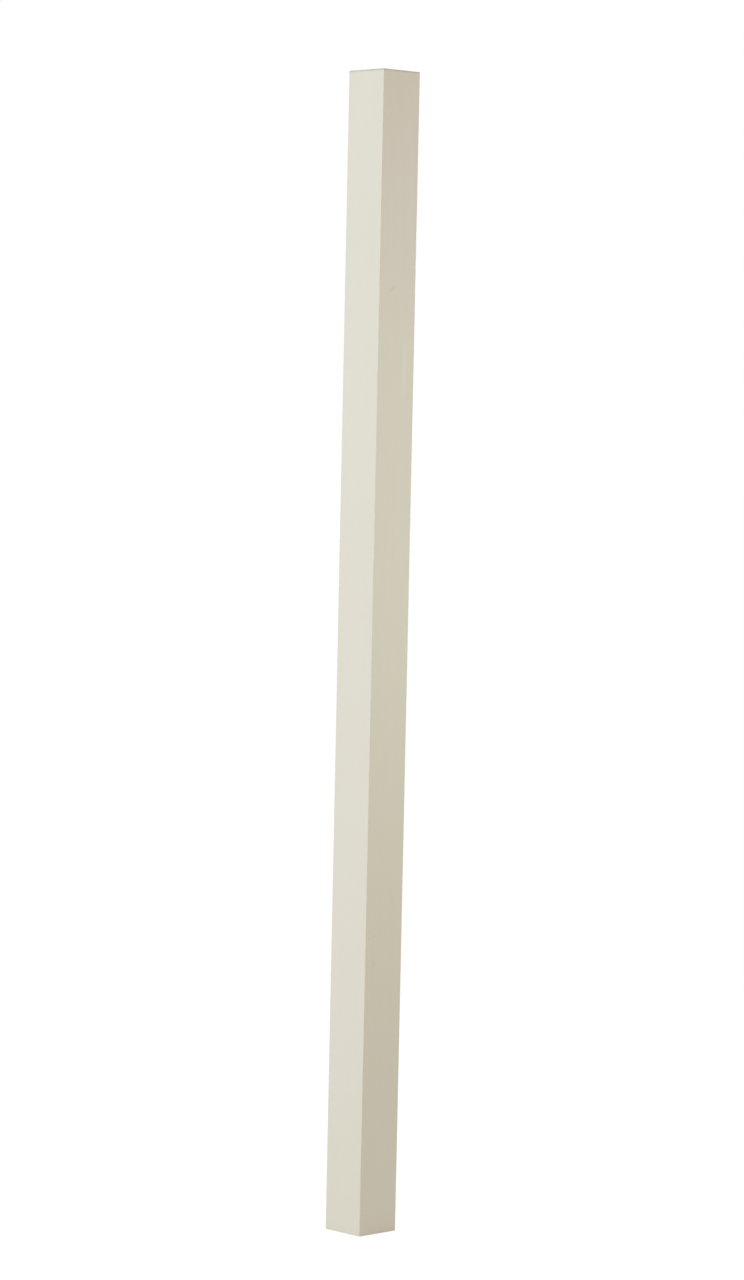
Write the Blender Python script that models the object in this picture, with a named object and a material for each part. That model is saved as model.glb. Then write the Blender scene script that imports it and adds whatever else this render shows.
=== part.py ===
"""Square baluster: one plain stick of painted timber, square in section, sawn square at both ends.

It stands on its foot. The origin is the middle of the foot, +Z runs up to the head, and the four
planed faces look along +X, -X, +Y and -Y. All sizes are in metres.
"""

from math import radians

import bmesh
import bpy
from mathutils import Matrix, Vector

# Driving dimensions
INCH = 0.0254
SIDE = 1.375 * INCH
LENGTH = 32.0 * INCH

# Edges: the long arrises are sanded a little rounder than the rims of the two sawn ends
ARRIS_RADIUS = 0.0004
RIM_RADIUS = 0.0003
ARC_SEGMENTS = 4

# Paint: a warm off-white, satin
PAINT_COLOUR = (0.78, 0.75, 0.655, 1.0)
PAINT_ROUGHNESS = 0.45
PAINT_METALLIC = 0.0

# Shading: a fold in the surface sharper than this stays a crease
CREASE_ANGLE = radians(40.0)


def clear_scene():
    """Takes every object out of the scene, so that the script starts from nothing."""
    for thing in list(bpy.data.objects):
        bpy.data.objects.remove(thing, do_unlink=True)


def off_white_paint():
    """The one finish, on all four faces and both ends."""
    material = bpy.data.materials.new("off_white_paint")
    material.use_nodes = True
    shader = material.node_tree.nodes["Principled BSDF"]
    shader.inputs["Base Color"].default_value = PAINT_COLOUR
    shader.inputs["Roughness"].default_value = PAINT_ROUGHNESS
    shader.inputs["Metallic"].default_value = PAINT_METALLIC
    material.diffuse_color = PAINT_COLOUR
    return material


def squared_blank(solid):
    """A sharp-edged blank, SIDE by SIDE by LENGTH, with its foot centred on the origin."""
    size = Matrix.Diagonal(Vector((SIDE, SIDE, LENGTH, 1.0)))
    lift = Matrix.Translation((0.0, 0.0, LENGTH / 2))
    bmesh.ops.create_cube(solid, size=1.0, matrix=lift @ size)


def runs_lengthwise(edge):
    """Whether an edge goes from the foot to the head, as the four long arrises of the blank do."""
    start, end = edge.verts
    return abs(end.co.z - start.co.z) > LENGTH / 2


def lies_on_a_rim(edge):
    """Whether an edge is part of the outline of the foot or of the head."""
    flat = len([face for face in edge.link_faces if abs(face.normal.z) > 0.5]) == 1
    return flat and not runs_lengthwise(edge)


def round_over(solid, is_wanted, radius):
    """Rounds the edges that is_wanted picks, to a quarter circle of the given radius."""
    edges = [edge for edge in solid.edges if is_wanted(edge)]
    bmesh.ops.bevel(
        solid,
        geom=edges,
        offset=radius,
        offset_type="OFFSET",
        segments=ARC_SEGMENTS,
        profile=0.5,
        affect="EDGES",
    )
    solid.normal_update()


def make_baluster():
    """The baluster: a squared blank whose long arrises are eased first, and then its two rims."""
    solid = bmesh.new()
    squared_blank(solid)
    round_over(solid, runs_lengthwise, ARRIS_RADIUS)
    round_over(solid, lies_on_a_rim, RIM_RADIUS)
    mesh = bpy.data.meshes.new("baluster")
    solid.to_mesh(mesh)
    solid.free()

    mesh.materials.append(off_white_paint())
    mesh.shade_smooth()
    mesh.set_sharp_from_angle(angle=CREASE_ANGLE)

    baluster = bpy.data.objects.new("baluster", mesh)
    bpy.context.scene.collection.objects.link(baluster)
    # The rounded edges shade into faces that stay flat, because the wider face rules the normal
    normals = baluster.modifiers.new("Flat faces", "WEIGHTED_NORMAL")
    normals.keep_sharp = True
    return baluster


clear_scene()
make_baluster()
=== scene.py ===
# %% [markdown]
# A square baluster is one of the plain upright sticks that fill the space between a handrail and
# the tread or rail below it. This one is a single length of timber, planed square, sawn square
# at both ends and sprayed a warm off-white. It has no turning, no chamfer and no moulding, so its
# looks hang on small things: how crisp the long edges are, how light slides over faces that are
# nearly flat, and how much of the wood still shows through its paint.
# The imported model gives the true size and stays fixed, and this script dresses it. The camera
# comes first, then the surface of the wood, then the paint, and last the floor and the lights.

import bpy
import numpy as np
from mathutils import Matrix, Vector


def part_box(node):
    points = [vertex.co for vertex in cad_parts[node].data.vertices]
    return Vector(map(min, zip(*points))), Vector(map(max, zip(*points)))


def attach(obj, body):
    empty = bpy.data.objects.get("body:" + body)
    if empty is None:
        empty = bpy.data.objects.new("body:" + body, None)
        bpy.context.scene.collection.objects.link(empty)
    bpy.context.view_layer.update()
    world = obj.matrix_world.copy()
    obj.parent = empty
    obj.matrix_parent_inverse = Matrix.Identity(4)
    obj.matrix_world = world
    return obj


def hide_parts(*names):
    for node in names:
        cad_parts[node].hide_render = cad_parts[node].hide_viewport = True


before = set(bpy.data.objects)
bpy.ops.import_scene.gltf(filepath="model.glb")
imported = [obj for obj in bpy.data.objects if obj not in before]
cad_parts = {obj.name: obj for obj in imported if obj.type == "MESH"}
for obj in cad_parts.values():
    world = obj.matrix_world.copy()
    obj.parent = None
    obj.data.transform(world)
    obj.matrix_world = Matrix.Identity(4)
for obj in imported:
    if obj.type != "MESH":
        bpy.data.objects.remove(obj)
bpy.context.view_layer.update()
foot_corner, head_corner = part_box("baluster")
SIDE = head_corner.x - foot_corner.x
LENGTH = head_corner.z - foot_corner.z
HALF = SIDE / 2
MM = 0.001
print(f"the baluster is {SIDE / MM:.3f} mm square and {LENGTH / MM:.1f} mm long")

# %% [markdown]
# Everything else is judged through the camera. It could be nudged into place by eye, but then
# nobody could say how it stands. Here five numbers place it: how far off it is, how high, how
# far round, how much it dips and how much it leans. It looks from about two thirds of the way up
# and from three and a third lengths off, with a long lens, so the uprights are almost parallel
# and two faces show nearly equally. It is held a degree off level, which makes the baluster
# lean. Distances are in lengths of the baluster, so that they hold for one of another size.

# %% Place the camera
CAMERA_AWAY = 3.365 * LENGTH
CAMERA_HEIGHT = 0.6921 * LENGTH
CAMERA_ROUND = np.radians(46.20)
CAMERA_DIP = np.radians(3.020)
CAMERA_LEAN = np.radians(1.207)
FILM_LONG_SIDE_MM = 36.0
LENS_MM = 110.98
NEAREST_SEEN = 0.05
FARTHEST_SEEN = 100.0


def add_object(name, data):
    """Puts a new object of that name and data into the scene."""
    thing = bpy.data.objects.new(name, data)
    bpy.context.scene.collection.objects.link(thing)
    return thing


def place_camera():
    """Stands the camera at CAMERA_HEIGHT, CAMERA_AWAY from the near arris along the ground.

    A camera looks down its own -Z. It is leaned about its own axis, tipped up until it looks
    level less the dip, and turned to face the near arris. The picture is taller than it is wide,
    and then what Blender calls the sensor width is measured up the longer side.
    """
    near_arris = Vector((HALF, -HALF, 0.0))
    towards = Vector((-np.sin(CAMERA_ROUND), np.cos(CAMERA_ROUND), 0.0))
    data = bpy.data.cameras.new("camera")
    data.lens = LENS_MM
    data.sensor_width = FILM_LONG_SIDE_MM
    data.clip_start = NEAREST_SEEN
    data.clip_end = FARTHEST_SEEN
    camera = add_object("camera", data)
    turn = Matrix.Rotation(CAMERA_ROUND, 4, "Z")
    tip = Matrix.Rotation(np.pi / 2 - CAMERA_DIP, 4, "X")
    lean = Matrix.Rotation(CAMERA_LEAN, 4, "Z")
    stand = near_arris - towards * CAMERA_AWAY + Vector((0.0, 0.0, CAMERA_HEIGHT))
    camera.matrix_world = Matrix.Translation(stand) @ turn @ tip @ lean
    bpy.context.scene.camera = camera
    return camera


camera = place_camera()
print("the camera stands at", [round(value, 3) for value in camera.matrix_world.translation])

# %% [markdown]
# The section is a square whose four arrises, the long edges where two faces meet, are only just
# broken, as a pass of fine paper and two coats of paint leave them. It could be a cube with a
# bevel on it, but then the faces would be four dead flat sheets. It is worked out here as a
# surface of two parameters instead. One walks round the section. The other walks from the middle
# of the foot out to its rim, up the length, and in to the middle of the head. Every point then
# has a known direction to be sunk in.

# %% Walk round the section
ARRIS_RADIUS = 0.4 * MM
STEPS_ACROSS_FACE = 80
STEPS_ROUND_ARRIS = 5
QUARTER_TURN = np.array([[0, -1], [1, 0]])


def walk_round_section():
    """The core points and the outward directions of one turn round the section.

    The section is a core square plus ARRIS_RADIUS times a direction. Round an arris the core
    point waits at a corner while the direction turns a quarter, and along a face the direction
    stays while the core point slides from one corner to the next. One quarter is worked out, and
    turned to make all four. The walk starts at the arris that is farthest from the camera.
    """
    core_half = HALF - ARRIS_RADIUS
    angle = np.linspace(0.0, np.pi / 2, STEPS_ROUND_ARRIS, endpoint=False)
    slide = np.linspace(1.0, -1.0, STEPS_ACROSS_FACE, endpoint=False)
    arris_core = np.full((STEPS_ROUND_ARRIS, 2), core_half)
    arris_out = np.stack([np.cos(angle), np.sin(angle)], axis=1)
    face_core = np.stack([core_half * slide, np.full(STEPS_ACROSS_FACE, core_half)], axis=1)
    face_out = np.tile([0.0, 1.0], (STEPS_ACROSS_FACE, 1))
    core = np.concatenate([arris_core, face_core])
    out = np.concatenate([arris_out, face_out])
    turns = [np.linalg.matrix_power(QUARTER_TURN, quarters) for quarters in (1, 2, 3, 4)]
    core = np.concatenate([core @ turn.T for turn in turns])
    out = np.concatenate([out @ turn.T for turn in turns])
    return core, out


section_core, section_out = walk_round_section()
print(len(section_core), "points round the section")

# %% [markdown]
# A few small marks break the face that is turned from the light: a short slanting knock near the
# top whose hollow is painted darker, a streak below it that something has rubbed a shade lighter,
# and two faint specks lower down. They could be painted in a picture and wrapped round the
# baluster, but a picture blurs close up and has no depth. So each mark is a row of plain numbers,
# and both its hollow and its tint are worked out from them. The list comes before the mesh,
# because the mesh has to be finer there.

# %% List the marks
def mark(up, across, wide, tall, deep, lighter, slant=0.0):
    """The numbers of one mark: its place and size in metres, its tint, and its slant in radians.

    Its middle is up times LENGTH above the foot and across times SIDE from the near arris. It is
    wide by tall by deep in millimetres. The paint there is lighter by a share of itself, and
    slant degrees tip the mark up at its far end.
    """
    size = (wide * MM, tall * MM, deep * MM)
    return up * LENGTH, across * SIDE - HALF, *size, lighter, np.radians(slant)


knock = mark(up=0.8140, across=0.357, wide=6.2, tall=2.6, deep=0.09, lighter=-0.08, slant=34.0)
rubbed_streak = mark(up=0.7450, across=0.733, wide=3.4, tall=37.0, deep=0.0, lighter=0.04)
upper_speck = mark(up=0.2589, across=0.231, wide=3.6, tall=1.4, deep=0.04, lighter=-0.06)
lower_speck = mark(up=0.2354, across=0.243, wide=3.6, tall=5.6, deep=0.02, lighter=-0.04)
marks = np.array([knock, rubbed_streak, upper_speck, lower_speck])
mark_z, mark_y, mark_wide, mark_tall, mark_deep, mark_lighter, mark_slant = marks.T
print("marks at", np.round(mark_z / MM, 1), "mm up")

# %% [markdown]
# The walk up the length goes in rows of points. To catch a mark they have to lie two thirds of a
# millimetre apart, but as close as that all the way up they would make the mesh several times
# heavier. So they crowd together at the marks and next to the two rims, and thin out to five
# millimetres in between. Rows could be put in by hand wherever a mark needs them. It is easier to
# say how many are wanted at each height, and to let the running total of that wish place them.

# %% Choose the rows up the length
RIM_RADIUS = 0.3 * MM
ROWS_UP = 214
CROWDING = 7.0
CROWD_REACH = 5.0 * MM
FINE_STEPS = 20000


def rows_up_the_length():
    """Heights between the two rims, crowded round the marks and next to the rims.

    The wish for rows is 1 everywhere plus a bell of height CROWDING round each such place. Its
    running total is cut into equal steps, and the heights where the cuts fall are the rows.
    """
    fine = np.linspace(RIM_RADIUS, LENGTH - RIM_RADIUS, FINE_STEPS + 1)
    crowded = np.concatenate([[0.0], mark_z, [LENGTH]])
    bells = np.exp(-(((fine[:, None] - crowded) / CROWD_REACH) ** 2))
    wish = 1.0 + CROWDING * bells.max(axis=1)
    total = np.concatenate([[0.0], np.cumsum((wish[1:] + wish[:-1]) / 2)])
    return np.interp(np.linspace(0.0, total[-1], ROWS_UP), total, fine)


row_heights = rows_up_the_length()
gaps = np.diff(row_heights) / MM
print(ROWS_UP, "rows, from", round(gaps.min(), 2), "to", round(gaps.max(), 2), "mm apart")

# %% Walk from the foot to the head
STEPS_ROUND_RIM = 3
RINGS_ON_END = 36


def walk_from_foot_to_head():
    """Four arrays, one entry a row: fullness, inset, height, and tilt of the outward direction.

    On the foot the outline grows from a point, fullness 0, to its full size, 1, and faces
    straight down. Round the rim the tilt turns by a quarter circle. The inset is the rim radius
    times one less the cosine of the tilt, and the height is the rim radius times one plus its
    sine. Up the length only the height changes, and the head is the foot turned over. The first
    and the last of the row heights are left out, because each rim already ends there.
    """
    flat = np.full(RINGS_ON_END, -np.pi / 2)
    turning = np.linspace(-np.pi / 2, 0.0, STEPS_ROUND_RIM + 1)[1:]
    foot_tilt = np.concatenate([flat, turning])
    foot_fullness = np.minimum(np.arange(1, len(foot_tilt) + 1) / RINGS_ON_END, 1.0)
    foot_inset = RIM_RADIUS * (1.0 - np.cos(foot_tilt))
    foot_height = RIM_RADIUS * (1.0 + np.sin(foot_tilt))
    side_height = row_heights[1:-1]
    upright = np.zeros_like(side_height)
    fullness = np.concatenate([foot_fullness, upright + 1.0, foot_fullness[::-1]])
    inset = np.concatenate([foot_inset, upright, foot_inset[::-1]])
    height = np.concatenate([foot_height, side_height, LENGTH - foot_height[::-1]])
    tilt = np.concatenate([foot_tilt, upright, -foot_tilt[::-1]])
    return fullness, inset, height, tilt


fullness, inset, height, tilt = walk_from_foot_to_head()
print(len(height), "rows with both ends")

# %% Carry the rows round the section
outline = section_core[None] + section_out[None] * (ARRIS_RADIUS - inset)[:, None, None]
flat_place = np.empty((len(height), len(section_core), 3))
flat_place[..., :2] = fullness[:, None, None] * outline
flat_place[..., 2] = height[:, None]
facing = np.empty_like(flat_place)
facing[..., :2] = section_out[None] * np.cos(tilt)[:, None, None]
facing[..., 2] = np.sin(tilt)[:, None]
print("the bare surface is a grid of", flat_place.shape[0], "by", flat_place.shape[1])

# %% [markdown]
# Timber is laid down in yearly rings round a pith, the soft heart of the trunk. This piece was
# sawn well away from it, so the rings cross its ends as shallow arcs and run up its faces as
# long lines that drift and part a little. Lines drawn on each face would never agree at the
# arrises. So the rings are one solid pattern, the distance from a pith line that wanders through
# space, and the faces and the ends each show their own cut of it.

# %% Grow the rings
PITH_X = -62.0 * MM
PITH_Y = 34.0 * MM
DRIFT_X = 7.0 * MM
DRIFT_Y = -5.0 * MM
SWAY_X = 2.5 * MM
SWAY_Y = 1.8 * MM
RING_WIDTH = 2.5 * MM
BIG_SWELL = 0.45
BIG_SWELL_REACH = 5.3 * MM
SMALL_SWELL = 0.20
SMALL_SWELL_REACH = 2.9 * MM
RIPPLE = 0.10


def swing(share, turns, start):
    """A sine that makes so many turns while share goes from 0 to 1, beginning at angle start."""
    return np.sin(2 * np.pi * turns * share + start)


def ring_number(place):
    """Which ring each point lies in, counted outwards from the pith and running on smoothly.

    It is the distance from the pith line over RING_WIDTH. A big and a small sine of the distance
    are added, so that some years are fat and some lean, and a sine of height makes the lines
    ripple up the faces. The pith line drifts and sways sideways on its way from foot to head.
    """
    up = place[..., 2] / LENGTH
    pith_x = PITH_X + DRIFT_X * up + SWAY_X * swing(up, turns=0.9, start=0.4)
    pith_y = PITH_Y + DRIFT_Y * up + SWAY_Y * swing(up, turns=1.3, start=2.1)
    distance = np.hypot(place[..., 0] - pith_x, place[..., 1] - pith_y)
    year = distance / RING_WIDTH
    year = year + BIG_SWELL * np.sin(distance / BIG_SWELL_REACH)
    year = year + SMALL_SWELL * np.sin(distance / SMALL_SWELL_REACH + 1.0)
    return year + RIPPLE * swing(up, turns=6.1, start=1.7 * year)


rings = ring_number(flat_place)
print("the baluster was cut from rings", int(rings.min()), "to", int(rings.max()))

# %% Find the late wood
LATE_WOOD_SHARPNESS = 2.2


def late_wood(rings):
    """How near each point is to the late wood of its ring: 0 in early wood, 1 at its hardest.

    The cosine makes one full turn a ring, and has one taken from it, so that it runs from -2 to
    0. Times LATE_WOOD_SHARPNESS it is the power of e, which leaves one narrow bump in each ring.
    """
    return np.exp(LATE_WOOD_SHARPNESS * (np.cos(2 * np.pi * rings) - 1.0))


late = late_wood(rings)
print("about", round(float((late > 0.5).mean()) * 100), "% of the points lie in late wood")

# %% [markdown]
# When planed timber dries, its soft early wood sinks a little below its hard late wood, and paint
# follows that. Bump in the paint could show it, but bump is only a trick of the light. Here the
# surface itself is sunk, by a hundredth of a millimetre or so, and deeper on the ends. This and
# every cut that comes after it is a depth below the true square, so that the dressed baluster
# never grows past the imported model's size.

# %% Sink the early wood
EARLY_WOOD_DEPTH = 0.012 * MM
END_GRAIN_GAIN = 2.5


def ring_depth(facing, late):
    """How far the early wood lies below the late wood: END_GRAIN_GAIN times more on the ends."""
    end_grain = np.abs(facing[..., 2])
    return EARLY_WOOD_DEPTH * (1.0 + (END_GRAIN_GAIN - 1.0) * end_grain) * (1.0 - late)


depth = ring_depth(facing, late)
print("the grain sinks the surface by up to", round(depth.max() / MM, 3), "mm")

# %% [markdown]
# A planed face isn't a mirror. The timber springs and cups a few hundredths of a millimetre as it
# leaves the machine, and that is why light slides unevenly up a long face. Random lumps would
# break the light up too, but they would look like bad filler. A real face does two plain things,
# it hollows across its width and waves slowly along its length, so each has its own formula.

# %% Hollow and wave the planed faces
CUP_DEPTH = 0.030 * MM
WAVE_DEPTH = 0.020 * MM


def wander(up, slow, slow_start, quick, quick_start):
    """A share that changes with height: a half, plus 0.3 of a slow sine, plus 0.2 of a quick one.

    Added up like that, it never leaves 0 to 1.
    """
    return 0.5 + 0.3 * swing(up, slow, slow_start) + 0.2 * swing(up, quick, quick_start)


def planing_depth(place, facing):
    """How far the planed faces lie below true: hollow in mid width, and waved along the length.

    The hollow is the cosine of a half turn across the face, measured along Y on a face that
    looks more than half along X, and along X on any other. Where the two sines of the wave
    start depends on the angle that the face looks in, so no two faces wave alike.
    """
    looks_along_x = np.abs(facing[..., 0]) > 0.5
    across = np.where(looks_along_x, place[..., 1], place[..., 0]) / HALF
    turned = np.arctan2(facing[..., 1], facing[..., 0])
    up = place[..., 2] / LENGTH
    wave = wander(up, slow=2.3, slow_start=2 * turned, quick=5.1, quick_start=turned)
    on_side = 1.0 - np.abs(facing[..., 2])
    return on_side * (CUP_DEPTH * np.cos(np.pi / 2 * across) + WAVE_DEPTH * wave)


depth += planing_depth(flat_place, facing)
print("with planing it sinks by up to", round(depth.max() / MM, 3), "mm")

# %% [markdown]
# Both ends come straight off a round saw, and its teeth leave shallow arcs there that two coats
# of paint only soften. A picture of saw marks could be laid over the ends. They are worked out
# from the blade instead, from its radius and from how far it is fed between two arcs, so that
# their curve and their spacing are true to size.

# %% Score the sawn ends
SAW_RADIUS = 127.0 * MM
SAW_AXIS_Y = 0.5 * SIDE
SAW_PITCH = 2.4 * MM
SAW_DEPTH = 0.018 * MM
SAW_UNEVENNESS = 0.35
SCORES_IN_A_SWELL = 3.7


def saw_depth(place, facing):
    """The arcs that a round blade leaves as it is fed through the end, one each SAW_PITCH.

    How far the blade has been fed when its rim passes a point is x plus the height of an arc of
    SAW_RADIUS over y. The scores are a cosine of that feed, and a slower sine of it makes them
    deeper and shallower by turns.
    """
    fed = place[..., 0] + np.sqrt(SAW_RADIUS**2 - (place[..., 1] - SAW_AXIS_Y) ** 2)
    arcs = 0.5 + 0.5 * np.cos(2 * np.pi * fed / SAW_PITCH)
    swell = np.sin(2 * np.pi * fed / (SCORES_IN_A_SWELL * SAW_PITCH))
    strength = 1.0 - SAW_UNEVENNESS + SAW_UNEVENNESS * swell
    return np.abs(facing[..., 2]) * SAW_DEPTH * arcs * strength


depth += saw_depth(flat_place, facing)
print("with the saw's scores it sinks by up to", round(depth.max() / MM, 3), "mm")

# %% [markdown]
# Sandpaper takes a hair more in one place than in another, and most of all at the edges. A bevel
# would be the same all along. Here the loss is greatest on an edge and dies away in two or three
# millimetres, and how much goes wanders from place to place. How near each point is to an edge
# serves twice, because the paint lies thinner there too.

# %% Sand the edges
EDGE_SANDING = 0.03 * MM
EDGE_REACH = 0.9 * MM


def nearness_to_edge(place):
    """1 on an arris or a rim and fading inwards: e to minus the distance over EDGE_REACH.

    Of a point's distances to the nearest face along X, along Y and along Z, the smallest is
    about nothing, because the point is on a face. The second smallest is its distance to an edge.
    """
    to_faces = np.stack([
        HALF - np.abs(place[..., 0]),
        HALF - np.abs(place[..., 1]),
        LENGTH / 2 - np.abs(place[..., 2] - LENGTH / 2),
    ])
    return np.exp(-np.sort(to_faces, axis=0)[1] / EDGE_REACH)


def sanding_depth(place, edge):
    """What the sanding takes off the edges: a share of EDGE_SANDING that wanders round them."""
    turned = np.arctan2(place[..., 1], place[..., 0])
    up = place[..., 2] / LENGTH
    share = wander(up, slow=7.0, slow_start=2 * turned, quick=17.0, quick_start=-3 * turned)
    return EDGE_SANDING * share * edge


edge = nearness_to_edge(flat_place)
depth += sanding_depth(flat_place, edge)
print("with sanding it sinks by up to", round(depth.max() / MM, 3), "mm")

# %% [markdown]
# Now the marks go in. A knock could be sculpted, but then it couldn't be moved or made shallower
# afterwards. As a formula it is a soft ellipse, full in the middle, fading at its rim and turned
# by its slant. One ellipse gives both the depth of the hollow and the tint of the paint, so the
# darker paint of the knock lies in the dent and not beside it.

# %% Press in the marks
TURNED_TO_X = 0.9


def mark_shares(place, facing):
    """How fully each mark is there at each point, 0 to 1, on the +X face alone.

    A point's offset from the mark's middle is turned by the slant and given in halves of the
    mark's width and height. The share is e to minus the fourth power of that distance: flat in
    the middle, soft at the rim. A point is on the +X face where the X of its direction is over
    TURNED_TO_X.
    """
    off_y = place[..., 1, None] - mark_y
    off_z = place[..., 2, None] - mark_z
    along = (off_y * np.cos(mark_slant) + off_z * np.sin(mark_slant)) / (mark_wide / 2)
    over = (off_z * np.cos(mark_slant) - off_y * np.sin(mark_slant)) / (mark_tall / 2)
    shares = np.exp(-((along**2 + over**2) ** 2))
    return np.where(facing[..., 0, None] > TURNED_TO_X, shares, 0.0)


shares = mark_shares(flat_place, facing)
depth += shares @ mark_deep
lighter = shares @ mark_lighter
surface = flat_place - facing * depth[..., None]
print("the finished surface lies up to", round(depth.max() / MM, 3), "mm below true")

# %% [markdown]
# A thin darker line is painted round the rim of the head. It could be a strip of its own mesh,
# but it has no depth to speak of and is under a millimetre wide. So it joins what the marks say
# about how light or dark the paint is. It fades both down the faces and in over the end, faster
# over the end.

# %% Darken the rim of the head
RIM_DARKER = 0.48
RIM_LINE_DOWN = 0.85 * MM
RIM_LINE_IN = 0.45 * MM
RIM_LINE_WANDER = 0.2


def on_head_rim(place):
    """1 on the rim of the head and fading from it: e to minus its distance squared.

    The distance is measured down the side in RIM_LINE_DOWNs and in over the end in RIM_LINE_INs.
    Round the rim the line swells and thins by RIM_LINE_WANDER times the product of two sines,
    one of nine swings a turn and one of four.
    """
    down = (LENGTH - place[..., 2]) / RIM_LINE_DOWN
    inwards = (HALF - np.maximum(np.abs(place[..., 0]), np.abs(place[..., 1]))) / RIM_LINE_IN
    turned = np.arctan2(place[..., 1], place[..., 0])
    crossing = np.sin(9.0 * turned) * np.sin(4.0 * turned + 1.0)
    strength = 1.0 - RIM_LINE_WANDER + RIM_LINE_WANDER * crossing
    return strength * np.exp(-(down**2 + inwards**2))


lighter -= RIM_DARKER * on_head_rim(flat_place)
print("the rim of the head is darker by up to", round(-lighter.min() * 100), "%")

# %% [markdown]
# Now the points become one closed skin. They could be joined face by face in a loop, but that is
# slow and easy to get wrong. The grid's own numbering gives every face at once, always walking
# round and then up, so that they all point outwards. The grid closes where the walk round the
# section meets its start, and a fan of triangles closes each end at one point in its middle.

# %% Number the faces
def grid_faces(rows, columns):
    """The four corners of every cell of a grid whose columns close into a loop."""
    row, column = np.meshgrid(np.arange(rows - 1), np.arange(columns), indexing="ij")
    here = row * columns + column
    beside = row * columns + (column + 1) % columns
    return np.stack([here, beside, beside + columns, here + columns], axis=-1).reshape(-1, 4)


def fan_faces(first, columns, middle, faces_up):
    """Triangles from a closed ring of points to one in its middle, turned up or down."""
    here = first + np.arange(columns)
    beside = first + (np.arange(columns) + 1) % columns
    ring = (here, beside) if faces_up else (beside, here)
    return np.stack([*ring, np.full(columns, middle)], axis=-1)


def closed_faces(rows, columns):
    """The cells of the grid, then the fan of the foot and the fan of the head."""
    foot_middle = rows * columns
    head_middle = foot_middle + 1
    cells = grid_faces(rows, columns)
    foot_fan = fan_faces(0, columns, foot_middle, faces_up=False)
    head_fan = fan_faces(foot_middle - columns, columns, head_middle, faces_up=True)
    return cells.tolist() + foot_fan.tolist() + head_fan.tolist()


faces = closed_faces(*surface.shape[:2])
print("the skin has", len(faces), "faces")

# %% [markdown]
# What the paint needs to know about each point, such as how near it is to late wood, goes along
# with the mesh as attributes. The paint could work the rings out again with nodes of its own, but
# the two would drift apart at the first change. This way colour and relief always agree.

# %% Make the mesh
def with_middles(grid):
    """The grid's entries in one list, then the mean of its first row and the mean of its last.

    The mean of a ring of points is the point in its middle, where the fan of an end meets.
    """
    middles = np.stack([grid[0].mean(axis=0), grid[-1].mean(axis=0)])
    return np.concatenate([grid.reshape(-1, *grid.shape[2:]), middles])


def build_mesh(name, surface, faces, notes):
    """A smooth mesh from the grid of places, with one float attribute for each of the notes."""
    mesh = bpy.data.meshes.new(name)
    mesh.from_pydata(with_middles(surface), [], faces)
    for title, values in notes.items():
        attribute = mesh.attributes.new(title, "FLOAT", "POINT")
        attribute.data.foreach_set("value", with_middles(values))
    mesh.shade_smooth()
    mesh.validate()
    return mesh


notes = {
    "late_wood": late,
    "edge": edge,
    "end_grain": np.abs(facing[..., 2]),
    "lighter": lighter,
}
baluster = add_object("painted_baluster", build_mesh("painted_baluster", surface, faces, notes))
triangles = sum(len(face.vertices) - 2 for face in baluster.data.polygons)
print("the painted baluster has", triangles, "triangles")

# %% [markdown]
# When the baluster is exported, the patterns in its paint are baked into pictures, and a flat
# layout says which part of a picture each face gets. Blender's own way would cut the surface
# down all four arrises, where a hair line can show between two parts. The grid already is a flat
# layout, so here it is opened along the one arris at the back and spread out: once round the
# section goes across the sheet, and the length goes up it. The two ends lie at its right side.

# %% Lay out the side
SHEET_MARGIN = 0.01
STRIP_WIDTH = 0.79


def share_walked(steps):
    """From 0 to 1: how much of the whole way is behind after each of the steps."""
    return np.concatenate([[0.0], np.cumsum(steps)]) / steps.sum()


def strip_layout(rows, columns):
    """Each side cell's four corners on the sheet, by the distance walked round and up.

    Across is the share walked of once round the section, and up is the share walked from the
    middle of the foot's rim to the head's. A last column repeats the first, so that the last
    cell ends at the strip's right edge and doesn't fold back to the left one.
    """
    ring = section_core + section_out * ARRIS_RADIUS
    across = share_walked(np.linalg.norm(np.roll(ring, -1, axis=0) - ring, axis=1))
    up = share_walked(np.hypot(np.diff(inset), np.diff(height)))
    spread_out = np.stack(np.meshgrid(
        SHEET_MARGIN + STRIP_WIDTH * across,
        SHEET_MARGIN + (1.0 - 2.0 * SHEET_MARGIN) * up,
    ), axis=-1)
    cells = grid_faces(rows, columns + 1).reshape(rows - 1, columns + 1, 4)[:, :-1]
    return spread_out.reshape(-1, 2)[cells.reshape(-1, 4)].reshape(-1, 2)


strip = strip_layout(*surface.shape[:2])
print("the side lies from", strip.min(axis=0).round(3), "to", strip.max(axis=0).round(3))

# %% Lay out the ends
END_LEFT = 0.81
END_WIDTH = 0.18
END_HEIGHT = 0.48
HEAD_BOTTOM = 0.51


def end_layout(places):
    """Points of either end on the sheet, seen from outside: the foot low and the head high."""
    looks_up = places[:, 2] > LENGTH / 2
    across = np.where(looks_up, places[:, 0], -places[:, 0]) / SIDE + 0.5
    up = places[:, 1] / SIDE + 0.5
    bottom = np.where(looks_up, HEAD_BOTTOM, SHEET_MARGIN)
    return np.stack([END_LEFT + END_WIDTH * across, bottom + END_HEIGHT * up], axis=-1)


print("each end takes", END_WIDTH, "by", END_HEIGHT, "of the sheet")

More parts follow.
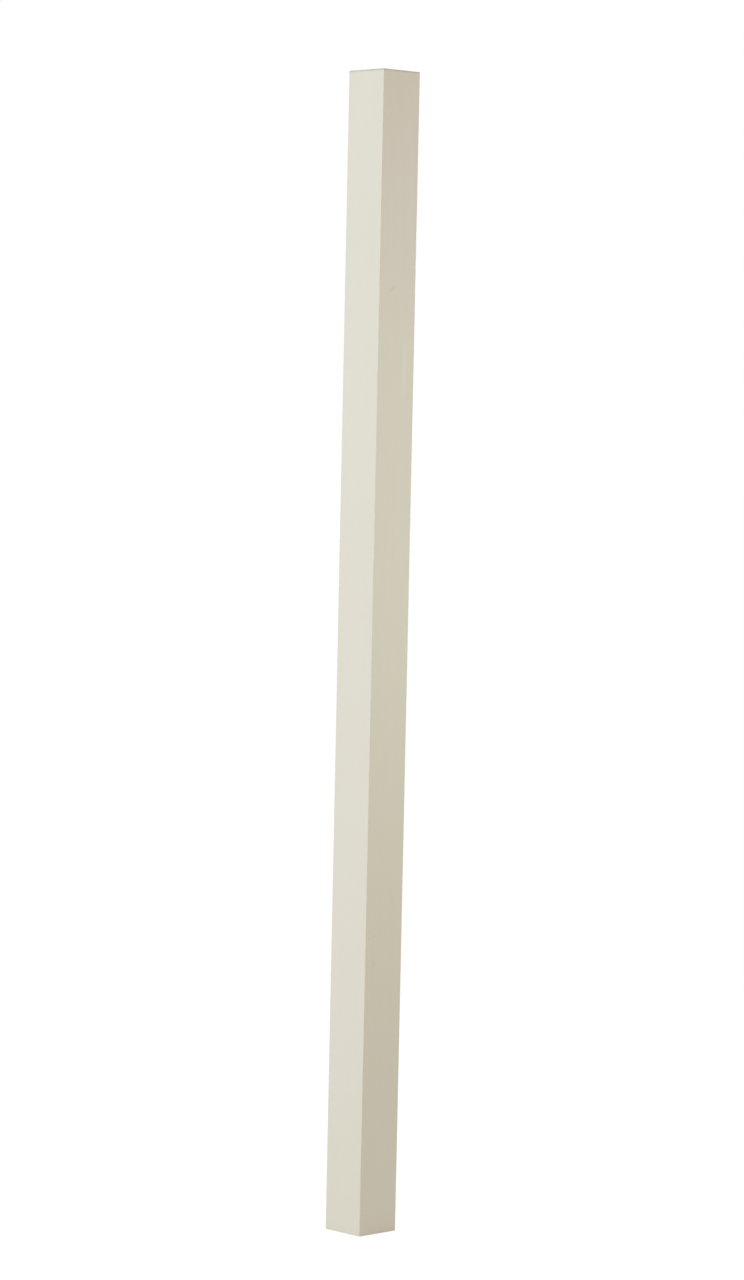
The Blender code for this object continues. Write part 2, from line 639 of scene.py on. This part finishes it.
# %% Write the layout to the mesh
def lay_flat(mesh, rows, columns):
    """Gives the mesh the layout that the export looks for under the name OFBake.

    The cells come first in the mesh, row by row, and then the two fans. A cell between two rows
    of an end, like a fan, is laid out by its points' own places, and any other as the strip says.
    """
    corners = np.empty(len(mesh.loops), int)
    mesh.loops.foreach_get("vertex_index", corners)
    places = np.empty(3 * len(mesh.vertices))
    mesh.vertices.foreach_get("co", places)
    layout = end_layout(places.reshape(-1, 3)[corners])
    row = np.repeat(np.arange(rows - 1), columns)
    on_side = (row >= RINGS_ON_END - 1) & (row < rows - RINGS_ON_END)
    side_corners = np.flatnonzero(np.repeat(on_side, 4))
    layout[side_corners] = strip[side_corners]
    mesh.uv_layers.new(name="OFBake").uv.foreach_set("vector", layout.ravel())
    return layout


layout = lay_flat(baluster.data, *surface.shape[:2])
print("the layout runs from", layout.min(axis=0).round(3), "to", layout.max(axis=0).round(3))

# %% [markdown]
# Nothing on a baluster moves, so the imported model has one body, the root, and the painted
# baluster rides on that. It stands for the plain packed one, which is hidden but stays behind as
# the shape that other things touch.

# %% Join it to the frame
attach(baluster, "root")
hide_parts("baluster")
print("it rides on the root body and stands for the packed baluster")

# %% [markdown]
# A finish is a small net of nodes that ends in one Principled shader. Wiring it by hand takes many
# lines that all look alike, so a few helpers come first. One joins an output to a socket or sets
# a plain number on it, and two do sums. Two fetch the patterns that the paint is mixed from: a
# soft noise, and a value that the mesh carries. The last starts a new finish.

# %% Write helpers for sums
def feed(tree, value, socket):
    """Joins an output to a socket, or sets a plain number on it."""
    if isinstance(value, bpy.types.NodeSocket):
        tree.links.new(value, socket)
    else:
        socket.default_value = value


def maths(tree, operation, first, second):
    """One sum on two values, each an output or a plain number."""
    node = tree.nodes.new("ShaderNodeMath")
    node.operation = operation
    feed(tree, first, node.inputs[0])
    feed(tree, second, node.inputs[1])
    return node.outputs[0]


def spread(tree, value, low, high):
    """Takes 0 to 1 onto low to high."""
    node = tree.nodes.new("ShaderNodeMapRange")
    feed(tree, value, node.inputs["Value"])
    node.inputs["To Min"].default_value = low
    node.inputs["To Max"].default_value = high
    return node.outputs[0]


print("values can be joined, summed and spread")

# %% Write helpers for patterns
def noise(tree, per_metre, detail):
    """A soft random pattern from 0 to 1, so many features to the metre along X, Y and Z."""
    places = tree.nodes.new("ShaderNodeTexCoord").outputs["Object"]
    stretch = tree.nodes.new("ShaderNodeMapping")
    stretch.inputs["Scale"].default_value = per_metre
    tree.links.new(places, stretch.inputs["Vector"])
    pattern = tree.nodes.new("ShaderNodeTexNoise")
    pattern.inputs["Scale"].default_value = 1.0
    pattern.inputs["Detail"].default_value = detail
    tree.links.new(stretch.outputs[0], pattern.inputs["Vector"])
    return pattern.outputs["Fac"]


def note(tree, title):
    """A value that the mesh carries at each point."""
    node = tree.nodes.new("ShaderNodeAttribute")
    node.attribute_name = title
    return node.outputs["Fac"]


def new_finish(name):
    """A material of one Principled shader, with its node tree and that shader."""
    material = bpy.data.materials.new(name)
    material.use_nodes = True
    return material, material.node_tree, material.node_tree.nodes["Principled BSDF"]


off_white_paint, paint_tree, paint_shader = new_finish("off_white_paint")
print("the paint starts with", len(paint_tree.nodes), "nodes")

# %% [markdown]
# The finish is a sprayed satin paint, opaque, a warm off-white that reads as cream in the light
# and as a pale stone colour in the shade. One flat colour would look like plastic. Real paint is a
# film: it lies a little thinner and warmer over the hard late wood and along the edges, and its
# colour clouds very slightly where one pass of the gun laps the next. The sawn ends soak it up,
# so their rings show through more. All of this is faint, and is worked out in the baluster's own
# metres, so the scale is true.

# %% Colour the film
PAINT = (0.780, 0.752, 0.655, 1.0)
PAINT_LAID_THIN = (0.745, 0.700, 0.580, 1.0)
PASSES_PER_METRE = (22.0, 22.0, 5.0)
THICKEST_LAP = -0.25
THINNEST_LAP = 0.35
THIN_OVER_LATE_WOOD = 0.10
THIN_OVER_END_RINGS = 0.45
THIN_ON_EDGES = 0.30


def thinness_of_the_film(tree):
    """How thin the paint lies, the sum of three shares: gun laps, late wood and edges."""
    laps = spread(tree, noise(tree, PASSES_PER_METRE, detail=3.0), THICKEST_LAP, THINNEST_LAP)
    rings_show = spread(tree, note(tree, "end_grain"), THIN_OVER_LATE_WOOD, THIN_OVER_END_RINGS)
    on_late_wood = maths(tree, "MULTIPLY", note(tree, "late_wood"), rings_show)
    on_edges = maths(tree, "MULTIPLY", note(tree, "edge"), THIN_ON_EDGES)
    return maths(tree, "ADD", laps, maths(tree, "ADD", on_late_wood, on_edges))


def colour_of_the_film(tree):
    """PAINT, going to PAINT_LAID_THIN as the film thins, then made lighter or darker by the marks."""
    colour = tree.nodes.new("ShaderNodeMix")
    colour.data_type = "RGBA"
    colour.inputs["A"].default_value = PAINT
    colour.inputs["B"].default_value = PAINT_LAID_THIN
    feed(tree, thinness_of_the_film(tree), colour.inputs["Factor"])
    marked = tree.nodes.new("ShaderNodeHueSaturation")
    feed(tree, colour.outputs["Result"], marked.inputs["Color"])
    feed(tree, maths(tree, "ADD", note(tree, "lighter"), 1.0), marked.inputs["Value"])
    return marked.outputs[0]


feed(paint_tree, colour_of_the_film(paint_tree), paint_shader.inputs["Base Color"])
print("the film is coloured, with", len(paint_tree.nodes), "nodes")

# %% [markdown]
# Satin sits between matt and gloss. It shows no sharp reflection, only a soft lift in brightness
# where a face looks towards a light. A single roughness would do for that, but the gloss of
# sprayed paint isn't even. Where the spray fell dry it is duller, and the sawn ends drink the
# binder out of the paint and go nearly flat. So the roughness has a soft pattern of its own.

# %% Set the gloss
SATIN = 0.42
GLOSSIER_BY = 0.05
DULLER_BY = 0.09
NEARLY_FLAT = 0.62
PATCHES_PER_METRE = (60.0, 60.0, 14.0)


def roughness_of_the_film(tree):
    """SATIN with soft patches, raised towards NEARLY_FLAT on the end grain."""
    patches = noise(tree, PATCHES_PER_METRE, detail=4.0)
    on_faces = spread(tree, patches, SATIN - GLOSSIER_BY, SATIN + DULLER_BY)
    on_ends = maths(tree, "MULTIPLY", note(tree, "end_grain"), NEARLY_FLAT - SATIN)
    return maths(tree, "ADD", on_faces, on_ends)


feed(paint_tree, roughness_of_the_film(paint_tree), paint_shader.inputs["Roughness"])
print("the film is satin on the faces and nearly flat on the ends")

# %% [markdown]
# Close up, the skin of the paint has two textures, both a few microns high. Spray leaves a fine
# even pebbling, and the sandpaper that cut back the first coat leaves hair lines along the grain.
# They are far too small for the mesh, so they tilt the light as bump and leave the outline alone.

# %% Raise the skin
PEBBLES_PER_METRE = (700.0, 700.0, 700.0)
HAIR_LINES_PER_METRE = (2200.0, 2200.0, 22.0)
HAIR_LINE_SHARE = 0.5
SKIN_HEIGHT = 0.008 * MM


def skin_of_the_film(tree):
    """The tilt of the light: pebbles plus HAIR_LINE_SHARE of the hair lines, SKIN_HEIGHT high."""
    pebbles = noise(tree, PEBBLES_PER_METRE, detail=2.0)
    hair_lines = noise(tree, HAIR_LINES_PER_METRE, detail=2.0)
    faint_lines = maths(tree, "MULTIPLY", hair_lines, HAIR_LINE_SHARE)
    bump = tree.nodes.new("ShaderNodeBump")
    bump.inputs["Distance"].default_value = SKIN_HEIGHT
    feed(tree, maths(tree, "ADD", pebbles, faint_lines), bump.inputs["Height"])
    return bump.outputs[0]


feed(paint_tree, skin_of_the_film(paint_tree), paint_shader.inputs["Normal"])
baluster.data.materials.append(off_white_paint)
print("the baluster is painted, with", len(paint_tree.nodes), "nodes")

# %% [markdown]
# The baluster stands on the floor of a plain white studio, and the picture shows pure white all
# round it. A floor that really were that bright would throw so much light up the baluster that its
# faces would lose their shading. So this floor is two things in one. To the light it is a pale
# matt sheet. To the camera it is a white glow with a little of that sheet laid over it, just
# enough for a faint soft shadow to show where the baluster stands. Glow and sheet together only
# just reach white, because more would eat into the edges of the baluster in front of them.

# %% Finish the floor
FLOOR_COLOUR = (0.90, 0.90, 0.89, 1.0)
SHEET_SEEN = (0.24, 0.26, 0.28, 1.0)
GLOW_SEEN = 0.865
WHITE = (1.0, 1.0, 1.0, 1.0)
MATT = 0.9


def make_matt(shader, colour):
    """Sets a Principled shader to a dull colour with no shine."""
    shader.inputs["Base Color"].default_value = colour
    shader.inputs["Roughness"].default_value = MATT
    shader.inputs["Specular IOR Level"].default_value = 0.0


def choose_by_ray(tree, seen, lighting, out):
    """Shows one shader to the rays that come from the camera, and the other to all the rest."""
    choose = tree.nodes.new("ShaderNodeMixShader")
    path = tree.nodes.new("ShaderNodeLightPath")
    tree.links.new(path.outputs["Is Camera Ray"], choose.inputs[0])
    tree.links.new(lighting.outputs[0], choose.inputs[1])
    tree.links.new(seen.outputs[0], choose.inputs[2])
    tree.links.new(choose.outputs[0], out.inputs["Surface"])


def finish_the_floor():
    """A matt pale sheet to all light, and to the camera GLOW_SEEN plus the thin SHEET_SEEN."""
    finish, tree, sheet = new_finish("pale_floor")
    make_matt(sheet, FLOOR_COLOUR)
    seen = tree.nodes.new("ShaderNodeBsdfPrincipled")
    make_matt(seen, SHEET_SEEN)
    seen.inputs["Emission Color"].default_value = WHITE
    seen.inputs["Emission Strength"].default_value = GLOW_SEEN
    choose_by_ray(tree, seen, sheet, tree.nodes["Material Output"])
    return finish


pale_floor = finish_the_floor()
print("the floor's finish has", len(pale_floor.node_tree.nodes), "nodes")

# %% Lay the floor
FLOOR_HALF = 30.0


def lay_floor(finish):
    """A square sheet at the height of the foot, running far past the view on every side."""
    corners = np.array([(-1, -1, 0), (1, -1, 0), (1, 1, 0), (-1, 1, 0)]) * FLOOR_HALF
    mesh = bpy.data.meshes.new("floor")
    mesh.from_pydata(corners, [], [[0, 1, 2, 3]])
    mesh.materials.append(finish)
    return add_object("floor", mesh)


floor = lay_floor(pale_floor)
print("the floor is", round(floor.dimensions.x), "m across")

# %% [markdown]
# The room behind is white to the camera too, but what it throws on the baluster is a dimmer,
# warmer light from all round, which sets the colour of the shade. Walls and a ceiling could be
# built for that. A world that answers the camera and the light differently, as the floor does,
# gives the same with nothing to build. The view is set to Standard, because Blender's usual one
# would turn pure white a pale grey.

# %% Fill the room
ROOM_COLOUR = (1.0, 0.87, 0.79, 1.0)
ROOM_STRENGTH = 0.621


def white_room():
    """White wherever the camera looks past the baluster, and dim and warm to everything else."""
    world = bpy.data.worlds.new("white_room")
    world.use_nodes = True
    tree = world.node_tree
    tree.nodes.clear()
    seen = tree.nodes.new("ShaderNodeBackground")
    seen.inputs["Color"].default_value = WHITE
    lighting = tree.nodes.new("ShaderNodeBackground")
    lighting.inputs["Color"].default_value = ROOM_COLOUR
    lighting.inputs["Strength"].default_value = ROOM_STRENGTH
    choose_by_ray(tree, seen, lighting, tree.nodes.new("ShaderNodeOutputWorld"))
    return world


bpy.context.scene.world = white_room()
bpy.context.scene.view_settings.view_transform = "Standard"
print("the room gives", ROOM_STRENGTH, "of full white")

# %% [markdown]
# On top of the room come softboxes, each a square sheet of light that the camera can't see. Bare
# lamps would do the same for the brightness, but they would put a hard glint on the satin. A
# large cool box stands on the left and lights the left face. Two small ones stand close on the
# right, one above the other, and lift the middle of the turned face, which is why that face is
# lightest half way up. The lower of them is a little green and the upper a little blue, so
# against them both ends of that face look rosy.

# %% Set the softboxes
def soft_light(name, turned, away, height, aim, size, watts, colour):
    """A softbox that stands turned degrees round from the front and faces the height aim.

    It is away metres from the baluster's axis, height metres up, and a square of size metres.
    """
    data = bpy.data.lights.new(name, "AREA")
    data.shape = "SQUARE"
    data.size = size
    data.energy = watts
    data.color = colour
    light = add_object(name, data)
    angle = np.radians(turned)
    light.location = (away * np.sin(angle), -away * np.cos(angle), height)
    look = Vector((0.0, 0.0, aim)) - light.location
    light.rotation_mode = "QUATERNION"
    light.rotation_quaternion = look.to_track_quat("-Z", "Y")
    light.visible_camera = False
    return light


soft_light(
    "key", turned=-15, away=2.0, height=0.75, aim=0.75,
    size=0.8, watts=17.9, colour=(0.72, 0.90, 1.00),
)
soft_light(
    "low_fill", turned=105, away=0.45, height=0.45, aim=0.45,
    size=0.25, watts=0.356, colour=(0.63, 1.00, 0.79),
)
soft_light(
    "high_fill", turned=105, away=0.45, height=0.65, aim=0.65,
    size=0.25, watts=0.254, colour=(0.81, 0.79, 1.00),
)
print("the key and both fills are set")

# %% [markdown]
# The head looks straight up and the two far faces look away, so they get little or nothing from
# the key and the fills. Two more boxes light them, one overhead and one behind. A brighter room
# would reach them as well, but it would flatten the two faces in the picture. These two are told
# to light the baluster alone. Otherwise the floor would throw their light back up and do the
# same harm.

# %% Light the head and the far faces
overhead = soft_light(
    "overhead", turned=0, away=0.0, height=3.0, aim=0.0,
    size=0.3, watts=22.0, colour=(0.78, 0.92, 1.00),
)
behind = soft_light(
    "behind", turned=190, away=2.0, height=0.75, aim=0.75,
    size=0.5, watts=13.0, colour=(0.75, 0.91, 1.00),
)
lit_alone = bpy.data.collections.new("lit_alone")
lit_alone.objects.link(baluster)
for light in (overhead, behind):
    light.light_linking.receiver_collection = lit_alone
print("the head and the far faces are lit")
